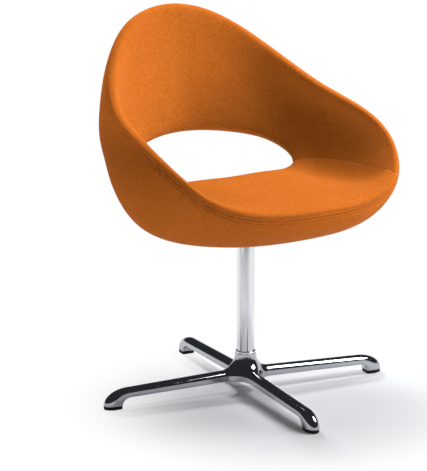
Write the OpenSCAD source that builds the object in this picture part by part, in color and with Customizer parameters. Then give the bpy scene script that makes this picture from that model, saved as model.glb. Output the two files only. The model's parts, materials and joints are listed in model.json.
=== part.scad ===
// Pedestal swivel armchair: a felt-covered ring shell on a chrome column and a cast four-arm base.
// Millimetres, +Z up. The origin is on the floor, on the swivel axis. The sitter faces -Y.

/* [Shell] */
// Half width of the rim seam at the arms
shell_half_w = 293; // [250:1:330]
// Reach of the rim seam in front of the swivel axis
shell_front = 275; // [240:1:310]
// Reach of the rim seam behind the swivel axis
shell_back = 331; // [290:1:360]
// Height of the rim seam at the front of the seat
seat_h = 440; // [400:1:520]
// Rise of the rim seam from the seat to the top of the back
back_rise = 349; // [290:1:400]
// Depth of the seat from its front seam line to the belly
seat_t = 94; // [88:1:104]
// Thickness of the arms and the back
wall_t = 50; // [44:1:58]
// Width of the rolled edge along the rim and the opening
roll_w = 24; // [20:1:28]
// How far the middle of the seat is crowned
seat_crown = 7; // [0:0.5:12]

/* [Back opening] */
// Half width of the opening between the seat and the back
opening_half_w = 194; // [170:1:210]
// Rear edge of the seat behind the swivel axis
seat_rear = 80; // [70:1:95]
// Depth of the opening in plan
opening_depth = 179; // [150:1:190]
// Rise of the opening's edge from the seat to the back
opening_rise = 91; // [70:1:110]

/* [Upholstery] */
// Thickness of the felt covers
cover_t = 2.7; // [2:0.1:3.5]
// Gap between a cover and the foam under it
cover_gap = 0.3; // [0.2:0.05:0.6]

/* [Shell frame] */
// Diameter of the frame tubes inside the foam
frame_d = 14; // [12:1:16]
// Width of a seat rail
rail_w = 25; // [20:1:28]
// Distance of each seat rail's middle from the edge of the base board
rail_inset = 18; // [15:1:22]
// Width of the base board across the chair
board_w = 212; // [206:1:220]
// Thickness of the base board
board_t = 12; // [10:1:14]
// Distance of the steel seat plate's side edges from the middles of its bolts
plate_edge = 15; // [12:1:22]
// Thickness of the steel seat plate
plate_t = 4; // [3:0.5:5]

/* [Column] */
// Outer diameter of the chrome column
column_d = 38; // [35:1:40]
// Wall of the chrome column
column_wall = 2.5; // [2:0.25:3]
// Drop from the front rim seam to the column's top edge
column_drop = 76; // [74:1:80]
// Diameter of the swivel spindle
spindle_d = 25; // [22:1:26]
// Radial clearance of the spindle in its bushes
running_gap = 0.1; // [0.05:0.01:0.2]
// Length of each swivel bush
bush_l = 36; // [30:1:45]

/* [Star base] */
// Distance of the glide centres from the swivel axis
glide_r = 311; // [290:1:330]
// Width of an arm
arm_w = 30; // [26:1:34]
// Height of an arm at the hub
arm_h = 22; // [19:1:25]
// Length of the foot at an arm's turned-down nose
nose_l = 38; // [32:1:42]
// Height of an arm's underside at the hub
arm_z = 28; // [26:1:32]
// Height of the hub's top face
hub_top = 84; // [80:1:92]
// Radius of the hub at its top face
hub_r = 22; // [21.5:0.5:25]
// Turn of the base against the shell, seen from above
star_turn = -7; // [-45:1:45]
// Height of a glide's pad
glide_h = 8; // [6:0.5:9]

/* [Hidden] */
$fn = 48;
overrun = 1;

felt_colour = [0.89, 0.47, 0.16];
foam_colour = [0.93, 0.88, 0.72];
steel_colour = [0.55, 0.56, 0.58];
chrome_colour = [0.86, 0.87, 0.89];
black_colour = [0.06, 0.06, 0.07];
cloth_colour = [0.09, 0.09, 0.09];
wood_colour = [0.80, 0.66, 0.45];
bronze_colour = [0.72, 0.55, 0.30];

// Rim seam and opening edge, from the front centre round one side to the top of the back.
// Each row: share of the half width, share of the reach, share of the rise.
rim_shares = [
    [0, -1, 0], [0.38, -0.955, 0.003], [0.70, -0.845, 0.063], [0.90, -0.66, 0.193], [1, -0.32, 0.347],
    [0.98, 0.045, 0.443], [0.90, 0.345, 0.527], [0.725, 0.65, 0.702], [0.416, 0.905, 0.920], [0, 1, 1]
];
opening_shares = [
    [0, 0, 0], [0.41, 0.01, 0.02], [0.73, 0.02, 0.07], [0.93, 0.07, 0.22], [1, 0.21, 0.41],
    [0.96, 0.38, 0.59], [0.84, 0.58, 0.77], [0.63, 0.775, 0.89], [0.335, 0.93, 0.97], [0, 1, 1]
];
// Drop of the opening's edge at the rear of the seat, below the front seam
opening_drop = 8;

// Sections through the shell, from the rim seam over the roll, along the inside, round the
// opening's edge and back outside. Each row: share of the way from rim to opening,
// share of the roll added along it, share of the thickness, counted outwards.
seat_shares = [
    [0, 0, 0], [0, 0.08, -0.10], [0, 1, -0.14], [0.3, 0, -0.18], [0.7, 0, -0.21], [1, -1, -0.25],
    [1, 0, 0], [1, -0.5, 0.36], [0.8, 0, 0.76], [0.36, 0, 0.87], [0, 0.6, 0.34]
];
hip_shares = [
    [0, 0, 0], [0, -0.12, -0.13], [0, 0.6, -0.17], [0.3, 0, 0.30], [0.7, 0, 0.25], [1, -0.9, -0.09],
    [1, 0, 0], [1, -0.7, 0.36], [0.68, 0, 1], [0.34, 0, 0.93], [0, 0.85, 0.27]
];
arm_shares = [
    [0, 0, 0], [0, -0.17, -0.24], [0, 0.4, -0.48], [0.3, 0, 0.08], [0.7, 0, 0.04], [1, -0.7, -0.24],
    [1, 0, 0], [1, -0.7, 0.44], [0.7, 0, 1.04], [0.34, 0, 1], [0, 0.85, 0.46]
];
back_shares = [
    [0, 0, 0], [0, -0.1, -0.24], [0, 0.35, -0.56], [0.3, 0, -0.52], [0.7, 0, -0.48], [1, -0.67, -0.36],
    [1, 0, 0], [1, -0.67, 0.36], [0.7, 0, 0.46], [0.3, 0, 0.44], [0, 0.75, 0.26]
];
// Frame tubes, measured in the same way: seat, hip, arm and back
rim_tube_shares = [[0, 1.17, 0.21], [0, 0.92, 0.06], [0, 0.8, -0.04], [0, 0.7, -0.16]];
opening_tube_shares = [[1, -0.92, 0.085], [1, -0.92, 0.085], [1, -0.75, 0.1], [1, -0.7, 0]];
// How much of each section shows at each row of the rim: seat, hip, arm, back
kind_shares = [
    [1, 0, 0, 0], [1, 0, 0, 0], [0.55, 0.45, 0, 0], [0.1, 0.9, 0, 0], [0, 0.42, 0.58, 0],
    [0, 0, 1, 0], [0, 0, 0.8, 0.2], [0, 0, 0.4, 0.6], [0, 0, 0, 1], [0, 0, 0, 1]
];
// Seam between the seat and an arm: its row of the rim tables at each point of the section,
// as a share of the rows from the front to the top of the back
crease_shares = [0.302, 0.267, 0.283, 0.344, 0.4, 0.389, 0.339, 0.289, 0.239, 0.186, 0.25];

// Lattice of the shell: lines round the ring, with the seams on two of them, and lines round
// the section, with the opening's seam and the belly's seam on two of them
ring_lines = 48;
half_lines = ring_lines / 2;
seat_lines = 8;
section_lines = 22;
opening_lines = 13;
wrap_lines = 15;
belly_lines = 17;
seam_share = 0.005;

flip = [[-1, 0, 0], [0, 1, 0], [0, 0, 1]];
keep = [[1, 0, 0, 0], [0, 1, 0, 0], [0, 0, 1, 0], [0, 0, 0, 1]];

function unit(a) = a / norm(a);
function pick(list, i) = list[(i % len(list) + len(list)) % len(list)];
function ringed(half, turn) = concat(half, [for (i = [len(half) - 2:-1:1]) turn * half[i]]);
// Control points of a closed spline that passes close to the points p
function knots(p) = [for (i = [0:len(p) - 1]) p[i] - (pick(p, i - 1) - 2 * p[i] + pick(p, i + 1)) / 6];
function spline(k, t) =
    let (i = floor(t), f = t - i, g = 1 - f)
    (pick(k, i - 1) * pow(g, 3) + pick(k, i) * (3 * pow(f, 3) - 6 * f * f + 4)
     + pick(k, i + 1) * (3 * pow(g, 3) - 6 * g * g + 4) + pick(k, i + 2) * pow(f, 3)) / 6;

rim_points = [for (s = rim_shares)
    [s[0] * shell_half_w, s[1] * (s[1] < 0 ? shell_front : shell_back), seat_h + s[2] * back_rise]];
opening_points = [for (s = opening_shares)
    [s[0] * opening_half_w, seat_rear + s[1] * opening_depth, seat_h - opening_drop + s[2] * opening_rise]];
rim_knots = knots(ringed(rim_points, flip));
opening_knots = knots(ringed(opening_points, flip));
kind_knots = knots(ringed(kind_shares, keep));
kind_t = [seat_t, seat_t, wall_t, wall_t];
function measured(s, t) = [s[0], s[1] * roll_w, s[2] * t];
sections = [seat_shares, hip_shares, arm_shares, back_shares];
section_knots = [for (k = [0:3]) knots([for (s = sections[k]) measured(s, kind_t[k])])];
rows = len(rim_knots);
points = len(seat_shares);
crease_knots = knots(crease_shares * rows / 2);

// Section plane at row u: rim point, opening point, way across, way out, mix of the sections
row_step = 0.01;
function slope(k, u) = unit(spline(k, u + row_step) - spline(k, u - row_step));
function section_frame(u) =
    let (r = spline(rim_knots, u), h = spline(opening_knots, u), across = unit(h - r),
         out = unit(cross(across, slope(rim_knots, u) + slope(opening_knots, u))))
    [r, h, across, out, spline(kind_knots, u)];
// Point of the section plane at q: share of the way across, distance across, distance outwards
function placed(f, q) = f[0] + f[2] * (q[0] * norm(f[1] - f[0]) + q[1]) + f[3] * q[2];
function skin_point(u, v) =
    let (f = section_frame(u)) placed(f, f[4] * [for (k = section_knots) spline(k, v)]);

// Row of the rim tables on which lattice line i lies at point v of the section
function line_row(i, v) =
    let (c = spline(crease_knots, v))
    i > half_lines ? rows - line_row(ring_lines - i, v)
    : i <= seat_lines ? c * i / seat_lines
    : c + (rows / 2 - c) * (i - seat_lines) / (half_lines - seat_lines);
function lattice() = [
    for (i = [0:ring_lines - 1]) [
        for (j = [0:section_lines - 1]) let (v = j * points / section_lines) skin_point(line_row(i, v), v)
    ]
];
function normals(g) = [
    for (i = [0:ring_lines - 1]) [
        for (j = [0:section_lines - 1])
            unit(cross(pick(g, i + 1)[j] - pick(g, i - 1)[j], pick(g[i], j + 1) - pick(g[i], j - 1)))
    ]
];
// How far the seat's top is raised at line i, j
function crown(i, j) =
    let (p = abs(i) / seat_lines, q = j / opening_lines)
    p >= 1 || q <= 0 || q >= 1 ? 0 : seat_crown * (1 - pow(p, 6)) * sin(180 * q);
// The skin moved inwards, with the crown of the seat on it
function sunk(g, n, depth) = [
    for (i = [0:ring_lines - 1]) [
        for (j = [0:section_lines - 1])
            g[i][j] - n[i][j] * (depth - crown(i > half_lines ? i - ring_lines : i, j))
    ]
];
bare_grid = lattice();
bare_normals = normals(bare_grid);
outer_grid = sunk(bare_grid, bare_normals, 0);
inner_grid = sunk(bare_grid, bare_normals, cover_t);
foam_grid = sunk(bare_grid, bare_normals, cover_t + cover_gap);

// Point of a lattice between its lines
function between(g, i, j) =
    let (a = floor(i), b = floor(j), s = i - a, t = j - b)
    (pick(pick(g, a), b) * (1 - s) + pick(pick(g, a + 1), b) * s) * (1 - t)
    + (pick(pick(g, a), b + 1) * (1 - s) + pick(pick(g, a + 1), b + 1) * s) * t;
// Lines from a to b, with both ends drawn in by the seam
function lines(a, b) = concat(a + seam_share, [for (i = [a + 1:b - 1]) i], b - seam_share);

// Cover: closed skin between two lattices, over ring lines li and section lines lj
module skin(outer, inner, li, lj) {
    ni = len(li);
    nj = len(lj);
    low = ni * nj;
    edge = concat([for (i = [0:ni - 1]) i * nj], [for (j = [1:nj - 1]) low - nj + j],
                  [for (i = [ni - 2:-1:0]) i * nj + nj - 1], [for (j = [nj - 2:-1:1]) j]);
    top = [for (i = [0:ni - 2], j = [0:nj - 2]) let (a = i * nj + j)
        each [[a, a + 1, a + nj + 1], [a, a + nj + 1, a + nj]]];
    // The diagonals of the edge follow the lattice, so that two covers meet face to face
    side = [for (k = [0:len(edge) - 1]) let (a = edge[k], b = pick(edge, k + 1))
        each a < b ? [[a, b, b + low], [a, b + low, a + low]] : [[a, b, a + low], [b, b + low, a + low]]];
    polyhedron(
        concat([for (i = li, j = lj) between(outer, i, j)], [for (i = li, j = lj) between(inner, i, j)]),
        concat(top, [for (f = top) [f[0] + low, f[2] + low, f[1] + low]], side), convexity = 8);
}

// Foam: the whole section over ring lines li, closed by a strip of rungs at each end
module core(g, li) {
    ni = len(li);
    nj = section_lines;
    last = (ni - 1) * nj;
    wall = [for (i = [0:ni - 2], j = [0:nj - 1]) let (a = i * nj + j, b = i * nj + (j + 1) % nj)
        each [[a, b, b + nj], [a, b + nj, a + nj]]];
    cap = [for (j = [0:nj / 2 - 1]) let (c = (nj - j) % nj, d = nj - j - 1)
        each concat(j == 0 ? [] : [[j, c, d]], d == j + 1 ? [] : [[j, d, j + 1]])];
    polyhedron([for (i = li, j = [0:nj - 1]) between(g, i, j)],
               concat(wall, cap, [for (f = cap) [f[0] + last, f[2] + last, f[1] + last]]), convexity = 8);
}

// Closed tube swept through a ring of points
tube_sides = 12;
module ring_tube(path) {
    n = len(path);
    pts = [for (k = [0:n - 1])
        let (way = unit(pick(path, k + 1) - pick(path, k - 1)), x = unit(cross(way, [0, 0, 1])), y = cross(way, x))
        for (s = [0:tube_sides - 1])
            path[k] + frame_d / 2 * (x * cos(360 * s / tube_sides) + y * sin(360 * s / tube_sides))];
    wall = [for (k = [0:n - 1], s = [0:tube_sides - 1])
        let (a = k * tube_sides + s, b = k * tube_sides + (s + 1) % tube_sides,
             c = (k + 1) % n * tube_sides + s, d = (k + 1) % n * tube_sides + (s + 1) % tube_sides)
        each [[a, d, b], [a, c, d]]];
    polyhedron(pts, wall, convexity = 8);
}

// Sizes of the base's fittings, from the floor up
column_top = seat_h - column_drop;
column_r = column_d / 2;
column_bore = column_r - column_wall;
spindle_r = spindle_d / 2;
glide_peg_r = 4;
glide_peg_h = 12;
fit_gap = 0.05;
base_recess_h = 12;
base_recess_r = 14;
hub_floor_t = 8;
washer_r = 13;
washer_t = 1.6;
base_bolt_r = 5;
base_head_r = 9.8;
base_head_h = 6.4;
socket_z = arm_z + base_recess_h + hub_floor_t;
washer_z = arm_z + base_recess_h - washer_t;
plug_gap = 2;
plug_h = 24;
collar_h = 6;
collar_w = 2.5;
lower_bush_z = 150;
flange_t = 3;
thrust_t = 2;
play = 0.3;
keeper_t = 2.5;
keeper_r = column_bore - play;
ring_t = 1.5;
ring_depth = 1;
ring_w = 3.5;
spindle_foot = 6;

// Sizes of the seat's fittings, above the column
rail_x = board_w / 2 - rail_inset;
hub_z = column_top + flange_t + thrust_t;
seat_hub_r = 24;
seat_hub_h = 17;
plate_z = hub_z + seat_hub_h;
board_z = plate_z + plate_t;
rail_z = board_z + board_t;
rail_h = 15;
plate_l = 110;
plate_y = -25;
plate_corner_r = 8;
board_l = 188;
board_y = -46;
board_corner_r = 12;
bolt_y = 40;
bolt_r = 4;
bolt_head_r = 7.5;
bolt_head_h = 5.5;
bolt_gap = 0.25;
plate_washer_r = 8;
plate_washer_t = 1.6;
bolt_well_r = 10;
bolt_well_h = 10;
nut_flange_r = 9;
nut_gap = 8.5;
bolt_x = rail_x - rail_w / 2 - nut_flange_r - nut_gap;
plate_w = 2 * (bolt_x + plate_edge);
nut_flange_t = 1.5;
nut_r = 5;
screw_r = 2.5;
screw_head_r = 5;
screw_l = 22;
screw_y = 82;
recess_r = 26;
strut_r = 4;
strut_shares = [0.84, 0.95];

// Star base: one arm is a swept section that widens and rises into the hub and turns down
// at its nose
web_r = 40;
flare_r = 36;
bend_l = 20;
dome_h = 10;
edge_r = 2;
arm_drop = 4;
arm_taper = 0.15;
arm_core = 14;
web_start = 27;
flare_start = 24;
bend_x = glide_r - bend_l - nose_l / 2;
bend_h = arm_z - arm_drop - glide_h;
arm_steps = [arm_core, flare_start, web_start, web_start + 3, web_start + 7, web_start + 12, web_start + 18,
             web_start + 24, flare_r + hub_r + 2, glide_r / 2];
nose_steps = 7;

function hollow(r, d) = r - sqrt(r * r - pow(min(max(d, 0), r), 2));
function arm_half_w(x) = arm_w / 2 + hollow(web_r, arm_w / 2 + web_r - max(x, web_start));
function arm_rise(x) = hollow(flare_r, hub_r + flare_r - max(x, flare_start));
dome_r = (pow(arm_w / 2, 2) + dome_h * dome_h) / (2 * dome_h);
dome_turn = asin(arm_w / 2 / dome_r);
dome_steps = 4;
arm_side = concat(
    [[arm_w / 2 - edge_r, 0], [arm_w / 2, edge_r]],
    [for (k = [0:dome_steps]) let (a = dome_turn * (1 - k / dome_steps))
        [dome_r * sin(a), arm_h - dome_r + dome_r * cos(a)]]);
arm_outline = concat(arm_side, [for (k = [len(arm_side) - 2:-1:0]) [-arm_side[k][0], arm_side[k][1]]]);
function arm_section(x) =
    let (way = min(x / bend_x, 1), wide = arm_half_w(x) / (arm_w / 2))
    [for (p = arm_outline)
        [x, p[0] * wide, arm_z - arm_drop * way + p[1] * (1 - arm_taper * way) + arm_rise(x) * pow(p[1] / arm_h, 3)]];
// Round the nose each line of the outline follows a quarter of an ellipse down to the foot
function nose_section(turn) =
    [for (p = arm_outline) let (h = p[1] / arm_h)
        [bend_x + (bend_l + nose_l * h) * sin(turn), p[0],
         glide_h + (bend_h + arm_h * (1 - arm_taper) * h) * cos(turn)]];
arm_sections = concat([for (x = arm_steps) arm_section(x)],
                      [for (k = [0:nose_steps]) nose_section(90 * k / nose_steps)]);

module arm() {
    n = len(arm_sections);
    m = len(arm_outline);
    last = (n - 1) * m;
    wall = [for (k = [0:n - 2], s = [0:m - 1]) let (a = k * m + s, b = k * m + (s + 1) % m)
        each [[a, a + m, b + m], [a, b + m, b]]];
    cap = [for (s = [0:(m - 3) / 2]) let (c = m - 1 - s)
        each concat([[s, s + 1, c]], c - 1 == s + 1 ? [] : [[s + 1, c - 1, c]])];
    polyhedron([for (r = arm_sections) each r],
               concat(wall, cap, [for (f = cap) [f[0] + last, f[2] + last, f[1] + last]]), convexity = 6);
}
hub_foot_r = 34;
hub_foot_h = 14;
hub_shares = [[1, 0], [0.62, 0.12], [0.3, 0.32], [0.1, 0.62], [0, 1]];
module hub() {
    foot = arm_z + hub_foot_h;
    rotate_extrude() polygon(concat(
        [[0, arm_z], [hub_foot_r, arm_z]],
        [for (s = hub_shares) [hub_r + s[0] * (hub_foot_r - hub_r), foot + s[1] * (hub_top - foot)]],
        [[0, hub_top]]));
}
module pillar(r, z, top) {
    translate([0, 0, z]) cylinder(r = r, h = top - z);
}
module pipe(r, bore, z, top) {
    difference() {
        pillar(r, z, top);
        pillar(bore, z - overrun, top + overrun);
    }
}
module at_glides() {
    for (turn = [0:90:270]) rotate([0, 0, turn]) translate([glide_r, 0, 0]) children();
}

module star_base() {
    color(chrome_colour) rotate([0, 0, star_turn]) difference() {
        union() {
            for (turn = [0:90:270]) rotate([0, 0, turn]) arm();
            hub();
        }
        pillar(column_r + fit_gap, socket_z, hub_top + overrun);
        pillar(base_bolt_r + bolt_gap, arm_z - overrun, hub_top);
        pillar(base_recess_r, arm_z - overrun, arm_z + base_recess_h);
        at_glides() pillar(glide_peg_r + fit_gap, -overrun, glide_h + glide_peg_h + overrun);
    }
}

// Glide under the nose of the arm that points to turn
module glide(turn) {
    color(black_colour) rotate([0, 0, star_turn + turn]) translate([glide_r, 0, 0]) {
        linear_extrude(height = glide_h)
            polygon([for (p = arm_outline) [(p[1] / arm_h - 0.5) * nose_l, p[0]]]);
        pillar(glide_peg_r, glide_h, glide_h + glide_peg_h);
    }
}
module glide_front() { glide(-90); }
module glide_right() { glide(0); }
module glide_rear() { glide(90); }
module glide_left() { glide(180); }

module column_tube() {
    color(chrome_colour) pipe(column_r, column_bore, socket_z, column_top);
}
module column_collar() {
    color(chrome_colour) pipe(column_r + collar_w, column_r, hub_top, hub_top + collar_h);
}
module foot_plug() {
    color(steel_colour) pipe(column_bore, base_bolt_r, socket_z + plug_gap, socket_z + plug_gap + plug_h);
}
module base_bolt() {
    color(steel_colour) {
        translate([0, 0, washer_z - base_head_h]) cylinder(r = base_head_r, h = base_head_h, $fn = 6);
        pillar(base_bolt_r, washer_z, socket_z + plug_h);
    }
}
module base_washer() {
    color(steel_colour) pipe(washer_r, base_bolt_r + bolt_gap, washer_z, washer_z + washer_t);
}
module lower_bush() {
    color(bronze_colour) pipe(column_bore, spindle_r + running_gap, lower_bush_z, lower_bush_z + bush_l);
}
module upper_bush() {
    color(bronze_colour) difference() {
        union() {
            pillar(column_bore, column_top - bush_l, column_top);
            pillar(column_r, column_top, column_top + flange_t);
        }
        pillar(spindle_r + running_gap, column_top - bush_l - overrun, column_top + flange_t + overrun);
    }
}
module thrust_washer() {
    color(black_colour) pipe(column_r, spindle_r + running_gap, hub_z - thrust_t, hub_z);
}

// Seat mechanism
ring_z = lower_bush_z - play - keeper_t - ring_t;
module swivel_spindle() {
    color(steel_colour) difference() {
        pillar(spindle_r, ring_z - spindle_foot, board_z);
        difference() {
            pillar(spindle_r + overrun, ring_z, ring_z + ring_t);
            pillar(spindle_r - ring_depth, ring_z - overrun, ring_z + ring_t + overrun);
        }
    }
}
module retaining_washer() {
    color(steel_colour) pipe(keeper_r, spindle_r + running_gap, ring_z + ring_t, ring_z + ring_t + keeper_t);
}
module retaining_ring() {
    color(steel_colour) pipe(spindle_r - ring_depth + ring_w, spindle_r - ring_depth, ring_z, ring_z + ring_t);
}
module seat_hub() {
    color(steel_colour) pipe(seat_hub_r, spindle_r, hub_z, plate_z);
}
module slab(w, l, t, corner_r, y, z) {
    translate([0, y, z]) linear_extrude(height = t) union() {
        square([w - 2 * corner_r, l], center = true);
        square([w, l - 2 * corner_r], center = true);
        for (sx = [-1, 1], sy = [-1, 1])
            translate([sx * (w / 2 - corner_r), sy * (l / 2 - corner_r)]) circle(r = corner_r);
    }
}
module at_bolts() {
    for (sx = [-1, 1], sy = [-1, 1]) translate([sx * bolt_x, plate_y + sy * bolt_y, 0]) children();
}
module plate_blank() {
    slab(plate_w, plate_l, plate_t, plate_corner_r, plate_y, plate_z);
}
module seat_plate() {
    color(steel_colour) difference() {
        plate_blank();
        pillar(spindle_r, plate_z - overrun, board_z + overrun);
        at_bolts() pillar(bolt_r + bolt_gap, plate_z - overrun, board_z + overrun);
    }
}
module plate_bolts() {
    head_z = plate_z - plate_washer_t;
    color(steel_colour) at_bolts() {
        translate([0, 0, head_z - bolt_head_h]) cylinder(r = bolt_head_r, h = bolt_head_h, $fn = 6);
        pillar(bolt_r, head_z, rail_z + nut_flange_t);
    }
}
module plate_washers() {
    color(steel_colour) at_bolts() pipe(plate_washer_r, bolt_r + bolt_gap, plate_z - plate_washer_t, plate_z);
}
module board_blank() {
    slab(board_w, board_l, board_t, board_corner_r, board_y, board_z);
}
module base_board() {
    color(wood_colour) difference() {
        board_blank();
        at_bolts() pillar(nut_r, board_z - overrun, rail_z + overrun);
        rail_screw_set();
    }
}
module t_nuts() {
    color(steel_colour) at_bolts() difference() {
        union() {
            pillar(nut_r, board_z + nut_flange_t, rail_z);
            pillar(nut_flange_r, rail_z, rail_z + nut_flange_t);
        }
        pillar(bolt_r, board_z, rail_z + nut_flange_t + overrun);
    }
}
module rail_screw_set() {
    for (sx = [-1, 1], sy = [-1, 1]) translate([sx * rail_x, board_y + sy * screw_y, board_z]) {
        cylinder(r1 = screw_head_r, r2 = screw_r, h = screw_head_r - screw_r);
        cylinder(r = screw_r, h = screw_l);
    }
}
module rail_screws() {
    color(steel_colour) rail_screw_set();
}

// Frame tubes and rails inside the foam
function tube_path(shares) = [for (i = [0:ring_lines - 1]) tube_point(shares, i * rows / ring_lines)];
function tube_point(shares, u) =
    let (f = section_frame(u)) placed(f, f[4] * [for (k = [0:3]) measured(shares[k], kind_t[k])]);
module rim_tube() {
    color(steel_colour) ring_tube(tube_path(rim_tube_shares));
}
module opening_tube() {
    color(steel_colour) ring_tube(tube_path(opening_tube_shares));
}
rail_front = tube_point(rim_tube_shares, 1)[1];
rail_rear = tube_point(opening_tube_shares, 1)[1];
module rail_blanks() {
    for (s = [-1, 1]) translate([s * rail_x - rail_w / 2, rail_front, rail_z])
        cube([rail_w, rail_rear - rail_front, rail_h]);
}
module seat_rails() {
    color(steel_colour) difference() {
        rail_blanks();
        rim_tube();
        opening_tube();
        rail_screw_set();
    }
}
module strut_blanks() {
    for (s = strut_shares, side = [-1, 1]) {
        a = tube_point(rim_tube_shares, side * s * rows / 2);
        b = tube_point(opening_tube_shares, side * s * rows / 2);
        translate(a) rotate([0, acos((b - a)[2] / norm(b - a)), atan2((b - a)[1], (b - a)[0])])
            cylinder(r = strut_r, h = norm(b - a));
    }
}
module back_struts() {
    color(steel_colour) difference() {
        strut_blanks();
        rim_tube();
        opening_tube();
    }
}

// Foam, moulded round the frame
module seat_foam() {
    color(foam_colour) difference() {
        core(foam_grid, lines(-seat_lines, seat_lines));
        rim_tube();
        opening_tube();
        rail_blanks();
        board_blank();
        plate_blank();
        pillar(recess_r, column_top - seat_t, plate_z + fit_gap);
        at_bolts() pillar(bolt_well_r, plate_z - bolt_well_h, plate_z + fit_gap);
        at_bolts() pillar(nut_flange_r, rail_z - fit_gap, rail_z + nut_flange_t);
    }
}
module back_foam() {
    color(foam_colour) difference() {
        core(foam_grid, lines(seat_lines, ring_lines - seat_lines));
        rim_tube();
        opening_tube();
        strut_blanks();
    }
}

// Felt covers
module cover(li, lj) {
    color(felt_colour) skin(outer_grid, inner_grid, li, lj);
}
seat_span = lines(-seat_lines, seat_lines);
back_span = lines(seat_lines, ring_lines - seat_lines);
module seat_cover() { cover(seat_span, lines(0, wrap_lines)); }
module back_cover() { cover(back_span, lines(0, opening_lines)); }
module front_cover() { cover(seat_span, lines(belly_lines, section_lines)); }
module outer_cover() { cover(back_span, lines(opening_lines, section_lines)); }
module under_cover() {
    color(cloth_colour) difference() {
        skin(outer_grid, inner_grid, seat_span, lines(wrap_lines, belly_lines));
        pillar(recess_r, column_top - seat_t, plate_z);
    }
}

star_base();
glide_front();
glide_right();
glide_rear();
glide_left();
column_tube();
column_collar();
foot_plug();
base_bolt();
base_washer();
lower_bush();
upper_bush();
thrust_washer();
swivel_spindle();
retaining_washer();
retaining_ring();
seat_hub();
seat_plate();
plate_bolts();
plate_washers();
base_board();
t_nuts();
rail_screws();
seat_rails();
rim_tube();
opening_tube();
back_struts();
seat_foam();
back_foam();
seat_cover();
back_cover();
front_cover();
outer_cover();
under_cover();
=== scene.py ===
# %% [markdown]
# # A swivel chair in orange felt
# The chair is a padded ring: the seat, two low arms and a back in one felt shell, with an opening
# between the seat and the back. It turns on a chrome column, which stands on a polished cross.
# This script dresses the chair's solid model: it loads the solids as a fixed frame, builds the
# surfaces that show (felt, cast metal, black pads) on top of it, gives each one a finish, and sets
# up a small photo studio round it. All lengths are in metres, with Z up and the sitter facing -Y.

# %% Load the frame and note its box
import json
import math

import bmesh
import bpy
import numpy as np
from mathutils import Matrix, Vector

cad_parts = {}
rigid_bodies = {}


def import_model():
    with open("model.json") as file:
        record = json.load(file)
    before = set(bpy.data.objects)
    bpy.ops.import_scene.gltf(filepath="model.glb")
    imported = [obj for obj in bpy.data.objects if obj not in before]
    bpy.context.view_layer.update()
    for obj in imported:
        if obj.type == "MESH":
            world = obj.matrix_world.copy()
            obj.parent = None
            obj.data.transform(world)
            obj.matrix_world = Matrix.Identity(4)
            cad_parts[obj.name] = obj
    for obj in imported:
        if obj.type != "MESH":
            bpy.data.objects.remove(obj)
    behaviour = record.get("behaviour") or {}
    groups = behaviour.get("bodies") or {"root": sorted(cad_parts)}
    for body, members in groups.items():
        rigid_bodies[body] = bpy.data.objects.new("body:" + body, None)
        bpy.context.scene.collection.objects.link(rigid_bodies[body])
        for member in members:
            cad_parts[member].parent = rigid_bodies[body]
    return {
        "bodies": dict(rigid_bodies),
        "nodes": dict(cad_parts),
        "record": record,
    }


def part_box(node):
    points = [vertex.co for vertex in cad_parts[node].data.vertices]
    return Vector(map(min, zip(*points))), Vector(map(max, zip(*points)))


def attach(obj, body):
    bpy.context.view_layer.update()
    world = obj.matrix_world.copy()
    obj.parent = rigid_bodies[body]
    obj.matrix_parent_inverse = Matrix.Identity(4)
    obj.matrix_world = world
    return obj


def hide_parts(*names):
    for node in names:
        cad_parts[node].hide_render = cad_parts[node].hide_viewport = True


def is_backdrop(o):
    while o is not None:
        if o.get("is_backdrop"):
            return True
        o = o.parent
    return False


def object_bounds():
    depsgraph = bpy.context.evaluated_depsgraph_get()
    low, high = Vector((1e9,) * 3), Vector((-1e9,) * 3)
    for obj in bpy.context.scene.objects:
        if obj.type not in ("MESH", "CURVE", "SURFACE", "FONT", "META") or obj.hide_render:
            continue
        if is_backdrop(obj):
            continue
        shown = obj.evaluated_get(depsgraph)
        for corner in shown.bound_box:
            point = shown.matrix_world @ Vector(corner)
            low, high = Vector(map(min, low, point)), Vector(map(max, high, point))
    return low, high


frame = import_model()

cad_box = [list(corner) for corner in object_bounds()]
print("solid model's box", [[round(n, 3) for n in corner] for corner in cad_box])
MM = 0.001

# %% [markdown]
# ## The camera
# The photograph looks down at the chair by 14 degrees, from the front and 32 degrees to its left,
# through a long lens: the far glide is hardly smaller than the near one. Such a lens is set up as a
# distance and a focal length together. They were found by matching the places where the four
# glides and the column stand in the picture, so the camera comes first and nothing is placed to
# please it.

# %% Camera at the photograph's viewing angle
camera_data = bpy.data.cameras.new("camera")
camera_data.lens = 183.4
camera_data.sensor_width = 36
camera = bpy.data.objects.new("camera", camera_data)
bpy.context.scene.collection.objects.link(camera)
camera.location = (-2.687, -4.138, 1.571)
camera_tilt = math.radians(90 - 13.99)
camera_turn = math.radians(-32.2)
camera.rotation_euler = (camera_tilt, 0, camera_turn)
bpy.context.scene.camera = camera
print("camera is", round(camera.location.length, 2), "m from the chair")

# %% [markdown]
# ## Shader maths that reads like maths
# A material in Blender is a graph of nodes. Wired by hand, `1 - mask * 0.3` takes six lines. A
# small class that wraps a socket and knows plus, minus and times turns the graph back into an
# expression. Colours don't go through it, since a Math node would turn them grey: they are blended
# with a Mix node. Every other node comes from one method, `add`, which takes the node's type, its
# settings, and the values or links of its sockets.

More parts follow.
